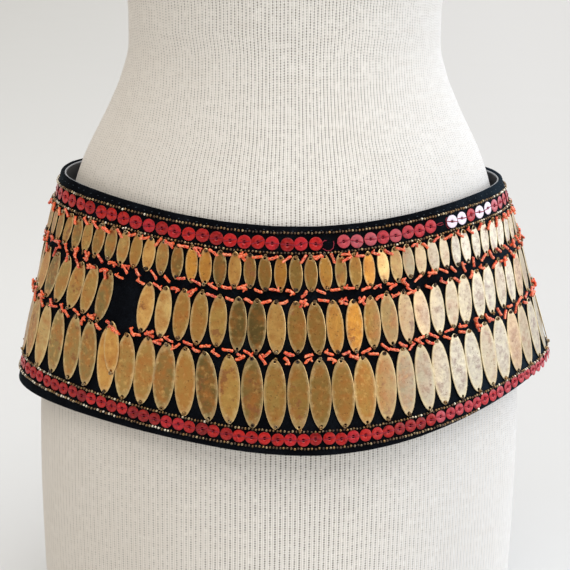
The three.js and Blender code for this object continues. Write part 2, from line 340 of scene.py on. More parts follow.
painted_front_light = maths("MINIMUM", maths("MAXIMUM", painted_front_light, 0.5), 1.0)
groove = maths("MULTIPLY", groove, painted_front_light)
pin_hole = maths("MULTIPLY", maths("MULTIPLY", groove, pin), patchy)
right_side = scaled(across, 10.0, 0.3, clamp=True)
painted_side_light = mixed(right_side, tint(196, 186, 172), tint(206, 210, 216))
plain = mixed(painted_front_light, painted_side_light, tint(255, 253, 249))
squeezed = {0: on_piece(jersey), 1: (45.0, 45.0, 420.0)}
rows = add_node("VectorMath", squeezed, operation="MULTIPLY").outputs["Vector"]
streak = scaled(noise_at(jersey, 1.0, 2.0, place=rows), 2.2, -0.9, clamp=True)
plain = mixed(streak, plain, tint(204, 194, 182), 0.22)
# Painted shade: the lines between the wales, the grooves and the pin holes are painted darker, as the shade
# in the rib and in its holes.
knit = mixed(seam, plain, tint(196, 188, 178), 0.75)
knit = mixed(groove, knit, tint(186, 175, 162), 0.5)
knit = mixed(pin_hole, knit, tint(70, 59, 50))
cloudy = noise_at(jersey, 30.0, 3.0)
knit = mixed(cloudy, knit, tint(212, 200, 184), 0.1)
hollow = scaled(groove, 0.5, pin_hole)
relief = maths("SUBTRACT", 1.0, hollow)
set_shader(jersey, Base_Color=knit, Normal=bump(relief, 0.0004, 0.4))
form.data.materials.append(jersey)
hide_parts("dress_form")


# ----------------------------------------------------------------------------------- velvet panel
# The belt itself: one shaped band of blue-black velvet drawn over buckram, wider round its hem than
# round its upper edge. The velvet turns over both edges with a soft roll and is caught inside, and
# it opens at the centre back.

UPPER_HOOP = dict(
    half_width=166.6, front=97.1, back=116.6, front_pinch=0.056, back_pinch=0.056,
    shift=0, height=315, back_rise=-10.5, side_rise=-5.4, tilt=2.0,
)
FOOT_HOOP = dict(
    half_width=192.6, front=127.3, back=132.7, front_pinch=0.172, back_pinch=0.09,
    shift=5.3, height=193.5, back_rise=13.5, side_rise=13.0, tilt=-1.4,
)
TOP_EDGE, TOP_SIDE_RISE = 129.9, 1.8
HEM_EDGE, HEM_SIDE_RISE, HEM_RIGHT_RISE = -19.0, 3.4, 8.0
PANEL_WALL = 2.2
END_GAP = 1.0
VELVET_PUCKER = 0.22
PANEL_COLUMNS = 460


def hoop_point(hoop, angle):
    """A point on one of the two hoops that the panel is ruled between."""
    side = math.sin(angle)
    outline = [hoop[key] for key in ("half_width", "front", "back", "front_pinch", "back_pinch")]
    point = oval_point(*outline, angle)
    point.x += hoop["shift"]
    point.z = hoop["height"] + hoop["back_rise"] * (1 - math.cos(angle)) / 2
    point.z += hoop["side_rise"] * side**2 + hoop["tilt"] * side
    return point


@lru_cache(maxsize=None)
def ruling(angle):
    """The foot of the straight line up the panel at an angle, and its direction."""
    foot = hoop_point(FOOT_HOOP, angle)
    return foot, (hoop_point(UPPER_HOOP, angle) - foot).normalized()


def panel_frame(angle, up, out=0.0):
    """A place on the velvet, up from the foot hoop and out from its face: X along, Y up, Z off it."""
    foot, rise = ruling(angle)
    foot_ahead, rise_ahead = ruling(angle + math.radians(0.5))
    here = foot + rise * up
    outward = (foot_ahead + rise_ahead * up - here).cross(rise).normalized()
    matrix = Matrix((rise.cross(outward), rise, outward)).transposed().to_4x4()
    matrix.translation = (here + outward * out) * mm
    return matrix


def panel_point(angle, up, out=0.0):
    """That place alone, without its directions."""
    return panel_frame(angle, up, out).translation


def top_edge(angle):
    """How far up the panel its upper edge lies."""
    return TOP_EDGE + TOP_SIDE_RISE * math.sin(angle) ** 2


def hem_edge(angle):
    """How far up it the hem lies, below 0. It climbs to the right and sinks to the left."""
    side = math.sin(angle)
    return HEM_EDGE + HEM_SIDE_RISE * side**2 + HEM_RIGHT_RISE * side**3


MARKS = np.radians(np.arange(-200, 200.5, 0.5))


@lru_cache(maxsize=None)
def lengths_round(up):
    """Length along the belt from the centre front to each mark, at one height."""
    points = [panel_point(angle, up) for angle in MARKS]
    steps = [(b - a).length / mm for a, b in zip(points, points[1:])]
    lengths = np.concatenate([[0.0], np.cumsum(steps)])
    return lengths - np.interp(0.0, MARKS, lengths)


def length_at(angle, up):
    """How far along the belt an angle lies, at one height."""
    return float(np.interp(angle, MARKS, lengths_round(up)))


def angle_at(length, up):
    """The angle that lies a length along the belt, at one height."""
    return float(np.interp(length, lengths_round(up), MARKS))


def angle_past(angle, length, up=55.5):
    """The angle that lies a length further along the belt."""
    return angle_at(length_at(angle, up) + length, up)


def rolled_section(low, high, outer, wall, face_rows=56, roll_rows=6, back_rows=14):
    """Up and out of each point round a strip of cloth with round edges, starting low on its face."""
    radius = wall / 2
    low, high, middle = low + radius, high - radius, outer - radius
    points = [(low + (high - low) * i / face_rows, outer) for i in range(face_rows)]
    for i in range(roll_rows):
        turn = math.pi * i / roll_rows
        points.append((high + radius * math.sin(turn), middle + radius * math.cos(turn)))
    points += [(high + (low - high) * i / back_rows, outer - wall) for i in range(back_rows)]
    for i in range(roll_rows):
        turn = math.pi * i / roll_rows
        points.append((low - radius * math.sin(turn), middle - radius * math.cos(turn)))
    return points


def band(name, start, end, columns, section_at):
    """A strip round the belt, from one angle to another, with the closed section that it is given."""
    angles = [start + (end - start) * column / columns for column in range(columns + 1)]
    sections = [section_at(angle) for angle in angles]

    def point_at(column, row):
        section = sections[column]
        return panel_point(angles[column], *section[row % len(section)])

    return wrapped_grid(name, columns, len(sections[0]), point_at)


def velvet_section(angle):
    """The panel's section, a little uneven where the velvet is drawn over its stiffening."""
    points = rolled_section(hem_edge(angle), top_edge(angle), 0.0, PANEL_WALL)
    place = Vector((7 * math.sin(angle), 7 * math.cos(angle), 0))
    uneven = []
    for up, out in points:
        swell = VELVET_PUCKER * noise.noise(place + Vector((0, 0, up / 30)))
        uneven.append((up + swell, out + swell))
    return uneven


velvet_start = -angle_past(math.pi, -END_GAP / 2)
velvet_end = angle_past(math.pi, -END_GAP / 2)
panel = band("velvet_panel_shell", velvet_start, velvet_end, PANEL_COLUMNS, velvet_section)

velvet = new_material(
    "blue_black_velvet", Roughness=0.95, Specular_IOR_Level=0.05,
    Sheen_Weight=0.16, Sheen_Roughness=0.3, Sheen_Tint=tint(104, 134, 150),
)
pile = noise_at(velvet, 1500.0, 3.0, 0.7)
brushed = noise_at(velvet, 70.0, 4.0, 0.6)
nap = scaled(pile, 0.6, maths("MULTIPLY", brushed, 0.4))
velvet_colour = ramp(nap, (0.38, tint(2, 3, 6)), (0.52, tint(9, 11, 16)), (0.68, tint(24, 30, 38)))
# Painted sheen: towards the right the velvet is mixed to a lighter teal, standing in for the window's light
# grazing its pile.
painted_sheen = scaled(one_axis(on_piece(velvet), "X"), 8.0, -0.7, clamp=True)
painted_sheen_colour = ramp(nap, (0.36, tint(14, 21, 30)), (0.66, tint(42, 60, 74)))
velvet_colour = mixed(painted_sheen, velvet_colour, painted_sheen_colour)
set_shader(velvet, Base_Color=velvet_colour, Normal=bump(nap, 0.0006, 0.8))
panel.data.materials.append(velvet)
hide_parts("velvet_panel")

# The turned edge is held by small prick stitches of teal thread that show just below the roll.
PRICK_LEVEL = 127.0
PRICK_PITCH = 6.2
PRICK_DROP = 3.0
PRICK_INSET = 4

chance = random.Random(3)
bm = bmesh.new()
travelled = length_at(velvet_start, PRICK_LEVEL) + PRICK_INSET
end = length_at(velvet_end, PRICK_LEVEL) - PRICK_INSET
while travelled < end:
    angle = angle_at(travelled, PRICK_LEVEL)
    place = panel_frame(angle, top_edge(angle) - PRICK_DROP + chance.uniform(-0.3, 0.3), 0.2)
    size = Matrix.Diagonal((chance.uniform(0.5, 0.9) * mm, 0.28 * mm, 0.22 * mm, 1))
    askew = Matrix.Rotation(math.radians(chance.uniform(-20, 20)), 4, "Z")
    bmesh.ops.create_icosphere(bm, subdivisions=1, radius=1, matrix=place @ askew @ size)
    travelled += PRICK_PITCH * chance.uniform(0.85, 1.15)
prick_stitches = finished(bm, "prick_stitches")
teal_thread = new_material("teal_thread", Roughness=0.6)
ply = noise_at(teal_thread, 2500.0, 1.0)
teal = mixed(ply, tint(12, 20, 28), tint(50, 70, 82))
set_shader(teal_thread, Base_Color=teal, Normal=bump(ply, 0.0001, 0.5))
prick_stitches.data.materials.append(teal_thread)


# ------------------------------------------------------------------------------- lining and piping
# Inside the panel lies a black satin lining, set back from both edges, and a thin cord covered in
# grey satin runs along the lining's upper edge, just below the roll of the velvet.

SEAM_GAP = 0.3
LINING_FACE = -(PANEL_WALL + SEAM_GAP)
LINING_WALL = 1.0
LINING_DROP = 2.0
LINING_INSET = 5
PIPING_RADIUS = 0.6

lining_start = angle_past(velvet_start, LINING_INSET)
lining_end = angle_past(velvet_end, -LINING_INSET)


def lining_section(angle):
    """The lining's section, behind the panel's."""
    low, high = hem_edge(angle) + LINING_DROP, top_edge(angle) - LINING_DROP
    return rolled_section(
        low, high, LINING_FACE, LINING_WALL, face_rows=24, roll_rows=3, back_rows=24)


def piping_section(angle):
    """The piping's round section, just above the lining's edge."""
    middle = top_edge(angle) - LINING_DROP + SEAM_GAP + PIPING_RADIUS
    turns = [2 * math.pi * i / 10 for i in range(10)]
    return [
        (middle + PIPING_RADIUS * math.sin(turn), LINING_FACE - PIPING_RADIUS * (1 - math.cos(turn)))
        for turn in turns
    ]


lining = band("satin_lining", lining_start, lining_end, 300, lining_section)
piping = band("satin_piping", lining_start, lining_end, 420, piping_section)

satin = new_material("black_satin", Roughness=0.42, Sheen_Weight=0.1, Anisotropic=0.5)
threads = noise_at(satin, 1400.0, 1.0)
slubs = noise_at(satin, 60.0, 3.0)
satin_colour = mixed(slubs, tint(24, 25, 30), tint(46, 48, 54))
set_shader(satin, Base_Color=satin_colour, Normal=bump(threads, 0.0001, 0.4))
lining.data.materials.append(satin)

grey_satin = new_material("grey_satin", Roughness=0.36, Sheen_Weight=0.1)
wrap = noise_at(grey_satin, 900.0, 2.0)
grey = mixed(wrap, tint(98, 101, 108), tint(166, 168, 172))
set_shader(grey_satin, Base_Color=grey, Normal=bump(wrap, 0.0001, 0.5))
piping.data.materials.append(grey_satin)

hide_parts("lining")
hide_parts("top_piping")


# ------------------------------------------------------------------------------ centre back closure
# One end of the belt carries a velvet underlap that closes the opening from inside, and four flat
# nickel-plated hooks, sewn between the lining and the underlap, hold the two ends together.

HOOK_WALL = 1.0
UNDERLAP_FACE = LINING_FACE - LINING_WALL - SEAM_GAP - HOOK_WALL - SEAM_GAP
UNDERLAP_WALL = 1.5
UNDERLAP_EDGE = 9
UNDERLAP_REACH = (-34, 22)  # from the opening to its two ends


def underlap_section(angle):
    """The underlap's section, behind the hooks."""
    low, high = hem_edge(angle) + UNDERLAP_EDGE, top_edge(angle) - UNDERLAP_EDGE
    return rolled_section(
        low, high, UNDERLAP_FACE, UNDERLAP_WALL, face_rows=40, roll_rows=4, back_rows=40)


underlap_start, underlap_end = [angle_past(math.pi, reach) for reach in UNDERLAP_REACH]
underlap = band("velvet_underlap", underlap_start, underlap_end, 24, underlap_section)
underlap.data.materials.append(velvet)
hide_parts("underlap")

nickel = new_material("nickel_plate", Metallic=1.0, Roughness=0.32)
wear_and_glare = noise_at(nickel, 300.0, 4.0)
nickel_colour = mixed(wear_and_glare, tint(150, 148, 142), tint(205, 203, 198))
set_shader(nickel, Base_Color=nickel_colour, Normal=bump(wear_and_glare, 0.0001, 0.3))
for number in (1, 2, 3, 4):
    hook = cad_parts[f"hook_{number}"]
    hook.data.materials.clear()
    hook.data.materials.append(nickel)


# ------------------------------------------------------------------------------- brass paillettes
# Three rows of long oval paillettes, cut by hand from thin sheet brass, with a hole near either end.
# They are aged to tan and olive with brown blotches. Painted light: they are duller at the left,
# painted pale at the right with the window's glare, and their cut edges carry a painted highlight.
# One of the middle row has slipped down over the large ones.

OVAL_END = 1.9
OVAL_TAPER = 1.12
OVAL_SIDES, HOLE_SIDES = 28, 10
BRASS_WALL = 0.5
BRASS_BEVEL, BEVEL_HEIGHT = 0.4, 0.1
BRASS_LIFT, SECOND_LIFT = 0.5, 0.3  # off the velvet, and more for every second plate
HOLE_RADIUS = 0.95
DECOR_START, DECOR_END = math.radians(-158.8), math.radians(157.2)
BRASS_ROWS = [  # name, lower hole, upper hole, width, count, roll and tip in degrees
    ("brass_ovals_small", 89.3, 109.4, 8.6, 76, 5.5, 1.6),
    ("brass_ovals_middle", 48.4, 79.9, 12.0, 62, 4.2, 1.0),
    ("brass_ovals_large", 0.0, 42.5, 15.2, 56, 3.0, 0.7),
]
BRASS_LEANS = {  # degrees round the belt, and mm that the row leans along it for each mm up
    "brass_ovals_small": [
        (-110, 0), (-66, 0.23), (-40, 0.22), (-30, 0.1), (-16, 0.09), (-2, 0.02), (10, -0.03),
        (36, -0.08), (47, -0.04), (57, 0.17), (66, 0.22), (110, 0),
    ],
    "brass_ovals_middle": [
        (-110, 0), (-66, 0.3), (-55, 0.28), (-45, 0.2), (-28, 0.18), (-18, 0.09), (-6, 0),
        (14, -0.02), (26, -0.11), (36, 0), (60, 0.08), (75, 0.17), (110, 0),
    ],
    "brass_ovals_large": [
        (-110, 0), (-72, 0.05), (-52, 0.03), (-36, 0.13), (-25, 0.01), (-10, 0.07), (0, 0.01),
        (18, 0), (28, -0.07), (45, -0.07), (54, 0.02), (75, 0.07), (110, 0),
    ],
}
LOST_OVAL = 21
LOST_SPREAD = -7.0
FALLEN_ANGLE, FALLEN_LEAN = math.radians(-47.4), math.radians(1)
FALLEN_LOWER, FALLEN_LIFT, FALLEN_SHADE = 15.5, 2.2, 0.93


def oval_plate(width, lower, upper):
    """One pierced plate lying on its back, with its middle at the origin."""
    bm = bmesh.new()
    half_tall = (upper - lower) / 2 + OVAL_END
    bmesh.ops.create_circle(bm, segments=OVAL_SIDES, radius=1)
    for corner in bm.verts:
        across = math.copysign(abs(corner.co.x) ** OVAL_TAPER, corner.co.x)
        corner.co = Vector((across * width / 2, corner.co.y * half_tall, 0)) * mm
    for end in (-1, 1):
        place = Matrix.Translation((0, end * (upper - lower) / 2 * mm, 0))
        bmesh.ops.create_circle(bm, segments=HOLE_SIDES, radius=HOLE_RADIUS * mm, matrix=place)
    filled = bmesh.ops.triangle_fill(bm, use_beauty=True, edges=bm.edges[:])["geom"]
    face = [part for part in filled if isinstance(part, bmesh.types.BMFace)]
    rubbed = bmesh.ops.inset_region(
        bm, faces=face, use_boundary=True, use_even_offset=True, thickness=BRASS_BEVEL * mm)["faces"]
    for part in face:
        for edge in part.edges:
            edge.smooth = not any(neighbour in rubbed for neighbour in edge.link_faces)
        for corner in part.verts:
            corner.co.z = BEVEL_HEIGHT * mm
    cut = [edge for edge in bm.edges if edge.is_boundary]
    walls = bmesh.ops.extrude_edge_only(bm, edges=cut)["geom"]
    below = [part for part in walls if isinstance(part, bmesh.types.BMVert)]
    bmesh.ops.translate(bm, verts=below, vec=(0, 0, (BEVEL_HEIGHT - BRASS_WALL) * mm))
    bmesh.ops.triangle_fill(bm, use_beauty=True, edges=[e for e in bm.edges if e.is_boundary])
    rim = bm.verts.layers.float.new("rim")
    on_plate = bm.verts.layers.float_vector.new("on_plate")
    for corner in bm.verts:
        corner[rim] = 0.0 if corner.co.z > BEVEL_HEIGHT / 2 * mm else 1.0
        corner[on_plate] = (corner.co.x / (width / 2 * mm), corner.co.y / (half_tall * mm), 0)
    bmesh.ops.recalc_face_normals(bm, faces=bm.faces)
    return mesh_from(bm, "oval_plate")


def joined_copies(name, copies):
    """One piece made of many small copies. Each is a mesh, where it goes, and a number for its shade."""
    bm = bmesh.new()
    shade = bm.verts.layers.float.new("shade")
    for mesh, place, own_shade in copies:
        first = len(bm.verts)
        bm.from_mesh(mesh)
        bm.verts.ensure_lookup_table()
        added = bm.verts[first:]
        bmesh.ops.transform(bm, matrix=place, verts=added)
        for corner in added:
            corner[shade] = own_shade
    return finished(bm, name)


def turned(chance, lean, roll, tip):
    """A small random turn: lean in the panel's plane, then roll and tip off it, in degrees."""
    return (
        Matrix.Rotation(math.radians(chance.uniform(-lean, lean)), 4, "Z")
        @ Matrix.Rotation(math.radians(chance.uniform(-roll, roll)), 4, "Y")
        @ Matrix.Rotation(math.radians(chance.uniform(-tip, tip)), 4, "X")
    )


def row_lean(name, angle):
    """Turn that makes a plate hang askew as its row does there."""
    degrees, leans = zip(*BRASS_LEANS[name])
    return Matrix.Rotation(-math.atan(np.interp(math.degrees(angle), degrees, leans)), 4, "Z")


def painted(material, layer):
    """The number that a layer of the mesh holds at each corner."""
    return add_node("Attribute", material=material, attribute_name=layer).outputs["Fac"]


chance = random.Random(11)
plate_places = {}
brass_pieces = []
for name, lower, upper, width, count, roll, tip in BRASS_ROWS:
    plate = oval_plate(width, lower, upper)
    middle = (lower + upper) / 2
    start, end = length_at(DECOR_START, middle), length_at(DECOR_END, middle)
    pitch = (end - start) / count
    places = []
    for number in range(count):
        if name == "brass_ovals_middle" and number == LOST_OVAL:
            places.append(None)
            continue
        spread = LOST_SPREAD if name == "brass_ovals_middle" and number < LOST_OVAL else 0.0
        angle = angle_at(start + pitch * (number + 0.5) + spread + chance.uniform(-0.4, 0.4), middle)
        lift = BRASS_LIFT + BRASS_WALL + BEVEL_HEIGHT + SECOND_LIFT * (number % 2)
        wobble = turned(chance, 1.9, roll, tip)
        size = Matrix.Diagonal((chance.uniform(0.95, 1.04), chance.uniform(0.975, 1.02), 1, 1))
        shuffle = chance.uniform(-0.7, 0.7)
        place = panel_frame(angle, middle + shuffle, lift)
        places.append(place @ row_lean(name, angle) @ wobble @ size)
    plate_places[name] = places
    copies = [(plate, place, chance.random()) for place in places if place is not None]
    brass_pieces.append(joined_copies(name, copies))

small_ovals, middle_ovals, large_ovals = brass_pieces
_, lower, upper, width, *_ = BRASS_ROWS[1]
fallen_plate = oval_plate(width, lower, upper)
fallen_place = panel_frame(FALLEN_ANGLE, FALLEN_LOWER + (upper - lower) / 2, FALLEN_LIFT)
fallen_place = fallen_place @ Matrix.Rotation(FALLEN_LEAN, 4, "Z")
fallen_oval = joined_copies("brass_oval_dropped", [(fallen_plate, fallen_place, FALLEN_SHADE)])

# Each plate has its own shade and its own part of every noise, so that no two are marked alike.
brass = new_material("aged_brass", Metallic=1.0, Coat_Weight=0.15, Coat_Roughness=0.3)
own_shade = painted(brass, "shade")
apart = add_node("CombineXYZ", {"Z": maths("MULTIPLY", own_shade, 9.0)}).outputs[0]
place = add_node("VectorMath", {0: on_piece(brass), 1: apart}, operation="ADD").outputs[0]
cloud = noise_at(brass, 130.0, 4.0, 0.6, place)
speck = noise_at(brass, 620.0, 3.0, 0.65, place)
stain = noise_at(brass, 95.0, 7.0, 0.68, place)
glow = noise_at(brass, 300.0, 4.0, 0.6, place)
clean = ramp(
    own_shade,
    (0.0, tint(112, 92, 50)), (0.14, tint(144, 117, 64)), (0.3, tint(184, 141, 73)),
    (0.46, tint(168, 127, 66)), (0.6, tint(202, 160, 86)), (0.72, tint(150, 116, 62)),
    (0.84, tint(244, 204, 130)), (0.95, tint(220, 154, 66)))
across = one_axis(on_piece(brass), "X")
# Painted shade: plates on the left are mixed towards a dull olive, standing in for the dim left of the room
# that they reflect.
painted_dim_side = scaled(across, -12.0, -0.75, clamp=True)
clean = mixed(painted_dim_side, clean, tint(160, 138, 88), 0.4)
browned = ramp(cloud, (0.4, (0, 0, 0, 1)), (0.68, (0.8, 0.8, 0.8, 1)))
aged = mixed(browned, clean, tint(184, 118, 58))
glowing = ramp(glow, (0.54, (0, 0, 0, 1)), (0.72, (0.45, 0.45, 0.45, 1)))
aged = mixed(glowing, aged, tint(236, 190, 114))
stain_reach = scaled(wave(maths("MULTIPLY", own_shade, 7.0)), 0.13, -0.67)
stained = maths("MULTIPLY", maths("ADD", stain, stain_reach), 16.0, clamp=True)
aged = mixed(stained, aged, tint(148, 94, 60), 0.75)
# Painted glare: plates on the right are mixed towards a pale cream with stains, standing in for their
# reflection of the window. Each plate takes its own share of it.
painted_glare_side = scaled(across, 18.0, -0.75, clamp=True)
glare_noise = scaled(glow, 0.6, maths("MULTIPLY", cloud, 0.4))
wear_and_glare = ramp(glare_noise, (0.38, tint(206, 197, 174)), (0.5, tint(192, 183, 166)), (0.6, tint(162, 148, 138)))
wear_and_glare = mixed(stained, wear_and_glare, tint(158, 136, 130), 0.5)
glare_share = wave(maths("MULTIPLY", own_shade, 5.0))
glare_share = scaled(maths("POWER", glare_share, 4.0), -0.3, 0.94)
aged = mixed(maths("MULTIPLY", painted_glare_side, glare_share), aged, wear_and_glare)
specked = maths("MULTIPLY", maths("SUBTRACT", speck, 0.62), 20.0, clamp=True)
aged = mixed(specked, aged, tint(96, 62, 38), 0.6)
# Painted highlight: a pale band round the outer part of each plate, stronger at the right.
on_plate = add_node("Attribute", material=brass, attribute_name="on_plate").outputs["Vector"]
reach = add_node("VectorMath", {0: on_plate}, operation="LENGTH").outputs["Value"]
ragged = scaled(glow, 0.5, maths("SUBTRACT", reach, 0.25))
painted_edge_highlight = scaled(ragged, 4.0, -2.9, clamp=True)
strength = scaled(painted_glare_side, 0.05, 0.35)
aged = mixed(maths("MULTIPLY", painted_edge_highlight, strength), aged, tint(240, 222, 170))
# Painted highlight along the cut edges and their bevel.
brass_colour = mixed(painted(brass, "rim"), aged, tint(240, 212, 156), 0.45)
tarnish = scaled(cloud, 0.2, 0.26)
brass_roughness = scaled(stained, 0.16, tarnish)
hammered = scaled(glow, 0.12, cloud)
brass_relief = bump(hammered, 0.0009, 0.4)
set_shader(brass, Base_Color=brass_colour, Roughness=brass_roughness, Normal=brass_relief)

for piece, nodes in (
    (small_ovals, ["brass_row_1"]),
    (middle_ovals, ["brass_row_2_left", "brass_row_2_right"]),
    (large_ovals, ["brass_row_3"]),
    (fallen_oval, ["brass_oval_fallen"]),
):
    piece.data.materials.append(brass)
    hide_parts(*nodes)


# ------------------------------------------------------------------------------ beads at the holes
# A thread comes up through each hole of a paillette, through one antique-gold seed bead that stops
# it, and back down. The beads sit over the holes or are drawn a little way past the plate's end.

STOP_RADIUS, STOP_LENGTH, STOP_HOLE = 1.4375, 1.36, 0.66
BEAD_SIDES = 8


def spun(outline, axis, sides):
    """A round bmesh with the closed outline of its section, along X and up Z, turned about an axis."""
    bm = bmesh.new()
    corners = [bm.verts.new(Vector((along, 0, up)) * mm) for along, up in outline]
    for first, second in zip(corners, corners[1:] + corners[:1]):
        bm.edges.new((first, second))
    bmesh.ops.spin(
        bm, geom=bm.verts[:] + bm.edges[:], cent=(0, 0, 0), axis=axis, angle=2 * math.pi,
        steps=sides, use_merge=True)
    bmesh.ops.recalc_face_normals(bm, faces=bm.faces)
    return bm


def seed_bead(radius, length, hole):
    """A short round bead with its hole along X."""
    profile = [(-0.5, hole), (-0.42, 0.82 * radius), (0, radius), (0.42, 0.82 * radius), (0.5, hole)]
    outline = [(along * length, out) for along, out in profile]
    return mesh_from(spun(outline, (1, 0, 0), BEAD_SIDES), "seed_bead")


chance = random.Random(23)
stop_bead = seed_bead(STOP_RADIUS, STOP_LENGTH, STOP_HOLE)
facing_out = Matrix.Rotation(math.radians(90), 4, "Y")
stop_copies = []
for name, lower, upper, *_ in BRASS_ROWS:
    plates = [place for place in plate_places[name] if place is not None]
    if name == "brass_ovals_middle":
        plates.append(fallen_place)
    for place in plates:
        for end in (-1, 1):
            past = (upper - lower) / 2 + chance.choice([0.0, 0.5, 1.0, 1.6])
            spot = Matrix.Translation(Vector((chance.uniform(-0.7, 0.7), end * past, 0.65)) * mm)
            tipped = turned(chance, 30, 34, 34)
            own_shade = chance.choice([0.1, 0.4, 0.5, 0.56, 0.62, 0.84])
            stop_copies.append((stop_bead, place @ spot @ tipped @ facing_out, own_shade))
stop_beads = joined_copies("seed_beads_on_holes", stop_copies)

gold_bead = new_material("antique_gold_glass", Metallic=0.85, Coat_Weight=0.5, Coat_Roughness=0.1)
bead_colour = ramp(
    painted(gold_bead, "shade"),
    (0.0, tint(26, 20, 16)), (0.32, tint(84, 60, 34)), (0.56, tint(150, 112, 60)),
    (0.76, tint(104, 86, 64)), (0.94, tint(192, 166, 122)), (1.0, tint(240, 230, 208)))
rubbed = noise_at(gold_bead, 1500.0, 2.0)
bead_colour = mixed(rubbed, bead_colour, tint(82, 60, 38), 0.35)
bead_roughness = scaled(rubbed, 0.2, 0.14)
set_shader(gold_bead, Base_Color=bead_colour, Roughness=bead_roughness)
stop_beads.data.materials.append(gold_bead)


# ------------------------------------------------------------------------------------ coral sticks
# Short pieces of orange-red branch coral, about one between each pair of paillette ends. They are
# bent and uneven, some keep the stub of a twig, and they lie loosely at all angles on their thread.

CORAL_LINES = [  # row of paillettes, which of its holes, height past the hole
    ("brass_ovals_small", 1, 0.2),
    ("brass_ovals_small", 0, -1.2),
    ("brass_ovals_middle", 1, 1.2),
    ("brass_ovals_middle", 0, -0.8),
    ("brass_ovals_large", 1, 1.4),
]
FRONT_SLOPES = [-38, -30, -26, -20, -12, -4, 12, 24, 34, 44, -58]
LEFT_SLOPES = [-78, -66, -52, -40, -30, -16, 10, 72]
RIGHT_SLOPES = [-40, -24, -10, 6, 16, 30, 52, 70, -70]
CORAL_KINDS = 16


def along_path(bm, points, radii, sides):
    """A tube through points, with its own radius at each, closed at both ends."""
    directions = [
        (points[min(i + 1, len(points) - 1)] - points[max(i - 1, 0)]).normalized()
        for i in range(len(points))
    ]
    turns = [direction.to_track_quat("Z", "Y").to_matrix().to_4x4() for direction in directions]
    places = [
        Matrix.Translation(point) @ turn @ Matrix.Scale(radius, 4)
        for point, turn, radius in zip(points, turns, radii)
    ]
    ring = bmesh.ops.create_circle(bm, segments=sides, radius=1, matrix=places[0])["verts"]
    edges = list(dict.fromkeys(edge for corner in ring for edge in corner.link_edges))
    start_edges = edges
    made = list(ring)
    for before, after in zip(places, places[1:]):
        grown = bmesh.ops.extrude_edge_only(bm, edges=edges)["geom"]
        ring = [part for part in grown if isinstance(part, bmesh.types.BMVert)]
        edges = [part for part in grown if isinstance(part, bmesh.types.BMEdge)]
        edges = [edge for edge in edges if all(corner in ring for corner in edge.verts)]
        bmesh.ops.transform(bm, matrix=after @ before.inverted(), verts=ring)
        made += ring
    bmesh.ops.holes_fill(bm, edges=start_edges + edges)
    for edge in start_edges + edges:
        edge.smooth = False
    return made


def coral_stick(chance):
    """One crooked stick along X with rough ends, and on some of them the stub of a twig."""
    bm = bmesh.new()
    length, thick = chance.uniform(5.4, 7.4), chance.uniform(0.85, 1.07)
    bow, kink = chance.uniform(-0.7, 0.7), chance.choice([0, 0, 0, -2.6, 2.4, 1.4])
    points = [
        Vector((
            t * length,
            bow * (1 - 4 * t * t) + kink * max(0, t) + chance.uniform(-0.15, 0.15),
            chance.uniform(-0.12, 0.12),
        )) * mm
        for t in (-0.5, -0.45, -0.28, -0.08, 0.12, 0.3, 0.45, 0.5)
    ]
    fullness = [chance.uniform(0.82, 1.14) for _ in points]
    fullness[0] = fullness[-1] = 0.9
    stem = along_path(bm, points, [thick * part * mm for part in fullness], 8)
    drill = max(stem[24:40], key=lambda corner: corner.co.z).co.copy()
    if chance.random() < 0.4:
        root = points[chance.choice([2, 3, 5])]
        reach = Vector((chance.uniform(-1.4, 1.4), chance.choice([-1, 1]) * 2.3, 0.4)) * mm
        twig = [root, root + reach * 0.7, root + reach]
        along_path(bm, twig, [0.7 * mm, 0.62 * mm, 0.4 * mm], 6)
    for corner in bm.verts:
        corner.co += noise.noise_vector(corner.co / mm * 1.3) * 0.2 * mm
    bmesh.ops.recalc_face_normals(bm, faces=bm.faces)
    drilled = bm.verts.layers.float.new("drilled")
    for corner in bm.verts:
        corner[drilled] = 1.0 if (corner.co - drill).length < 0.35 * mm else 0.0
    return mesh_from(bm, "coral_stick")


chance = random.Random(5)
sticks = [coral_stick(chance) for _ in range(CORAL_KINDS)]
coral_copies = []
for name, hole, past in CORAL_LINES:
    _, lower, upper, _, count, *_ = next(row for row in BRASS_ROWS if row[0] == name)
    up = (lower, upper)[hole] + past
    middle = (lower + upper) / 2
    start, end = length_at(DECOR_START, middle), length_at(DECOR_END, middle)
    pitch = (end - start) / count
    for number in range(count - 1):
        spread = LOST_SPREAD * 0.6 if name == "brass_ovals_middle" and number < LOST_OVAL else 0.0
        level_angle = angle_at(start + pitch * (number + 1) + spread, middle)
        leaning = np.interp(math.degrees(level_angle), *zip(*BRASS_LEANS[name])) * (up - middle)
        angle = angle_at(length_at(level_angle, up) + leaning + chance.uniform(-0.9, 0.9), up)
        slopes_here = FRONT_SLOPES
        if angle < math.radians(-42):
            slopes_here = LEFT_SLOPES
        elif angle > math.radians(40):
            slopes_here = RIGHT_SLOPES
        for layer in range(2 if chance.random() < 0.22 else 1):
            slope = math.radians(chance.choice(slopes_here))
            drop = 1.6 * abs(math.sin(slope))
            rock = Matrix.Rotation(math.radians(chance.uniform(-14, 14)), 4, "Y")
            place = panel_frame(angle, up - drop + chance.uniform(-0.9, 0.9), 2.1 + 1.3 * layer)
            place = place @ Matrix.Rotation(slope, 4, "Z") @ rock
            coral_copies.append((chance.choice(sticks), place, chance.random()))
coral_pieces = joined_copies("coral_sticks", coral_copies)

